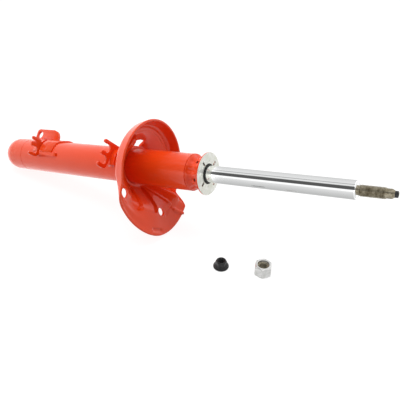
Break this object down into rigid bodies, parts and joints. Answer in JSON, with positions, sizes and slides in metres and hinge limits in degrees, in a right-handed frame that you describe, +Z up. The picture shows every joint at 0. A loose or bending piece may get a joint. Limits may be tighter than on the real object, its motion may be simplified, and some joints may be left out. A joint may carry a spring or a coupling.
{
  "type": "suspension strut",
  "caption": "Painted twin-tube suspension strut with a pressed spring seat, hose and link brackets, a plated stop disc, a sliding and turning rod, and its loose nuts.",
  "frame": {"origin": "on the strut's axis, in the middle of the plain length of tube that the knuckle clamps, which is its knuckle_clamp mount", "axes": "the strut lies on its spring seat and on its domed end; +Z up, +X along the strut's shadow towards the stud, with the strut's axis climbing 12.6 degrees from it, and +Y away from the side that the hose hooks are on"},
  "size_m": [0.5491, 0.1319, 0.1437],
  "materials": {
    "red_paint": "gloss",
    "zinc_plate": "bright plated, slightly mottled",
    "rod_chrome": "polished",
    "black_oxide": "satin",
    "plain_steel": "machined",
    "sintered_iron": "fine matte",
    "bush_bronze": "satin",
    "band_plastic": "matte",
    "black_rubber": "matte"
  },
  "bodies": {
    "housing": {"outer_tube": "red_paint", "base_cap": "red_paint", "top_collar": "red_paint", "stop_disc": "zinc_plate", "spring_seat": "red_paint", "seat_weld": "red_paint", "upper_hook_plate": "red_paint", "upper_hook_foot": "red_paint", "upper_hook_weld": "red_paint", "lower_hook_plate": "red_paint", "lower_hook_foot": "red_paint", "link_saddle": "red_paint", "link_ear": "red_paint", "link_weld": "red_paint", "inner_cylinder": "plain_steel", "rod_guide": "sintered_iron", "guide_bush": "bush_bronze", "oil_seal": "black_rubber", "seal_retainer": "plain_steel", "dust_wiper": "black_rubber", "base_valve_body": "sintered_iron", "base_valve_bolt": "plain_steel", "base_valve_shims": "plain_steel", "base_valve_washer": "plain_steel", "base_valve_nut": "plain_steel"},
    "base_valve_disc": {"base_check_disc": "plain_steel"},
    "band_carrier": {"piston_band": "band_plastic"},
    "rod": {"piston_rod": "rod_chrome", "piston": "sintered_iron", "piston_shims": "plain_steel", "piston_washer": "plain_steel", "piston_nut": "plain_steel", "rebound_stop_ring": "plain_steel", "rebound_bumper": "black_rubber"},
    "piston_valve_disc": {"piston_check_disc": "plain_steel"},
    "top_nut": {"top_nut": "zinc_plate"},
    "flange_nut": {"flange_nut": "black_oxide"}
  },
  "joints": [
    {"name": "rod_travel", "type": "slide", "parent": "housing", "child": "band_carrier", "axis": [-0.9759, 0, -0.2181], "range_m": [0, 0.155], "stiffness_N_per_m": 300, "springref_m": -0.5},
    {"name": "rod_turn", "type": "hinge", "parent": "band_carrier", "child": "rod", "pos_m": [0.24642, 0, 0.05508], "axis": [0.9759, 0, 0.2181], "continuous": true},
    {"name": "piston_valve_lift", "type": "slide", "parent": "rod", "child": "piston_valve_disc", "axis": [0.9759, 0, 0.2181], "range_m": [0, 0.0008], "stiffness_N_per_m": 100, "springref_m": -0.002},
    {"name": "base_valve_lift", "type": "slide", "parent": "housing", "child": "base_valve_disc", "axis": [0.9759, 0, 0.2181], "range_m": [0, 0.001], "stiffness_N_per_m": 100, "springref_m": -0.002},
    {"name": "top_nut_lift", "type": "slide", "parent": "housing", "child": "top_nut", "axis": [0, 0, 1], "range_m": [0, 0.1]},
    {"name": "flange_nut_lift", "type": "slide", "parent": "housing", "child": "flange_nut", "axis": [0, 0, 1], "range_m": [0, 0.1]}
  ]
}
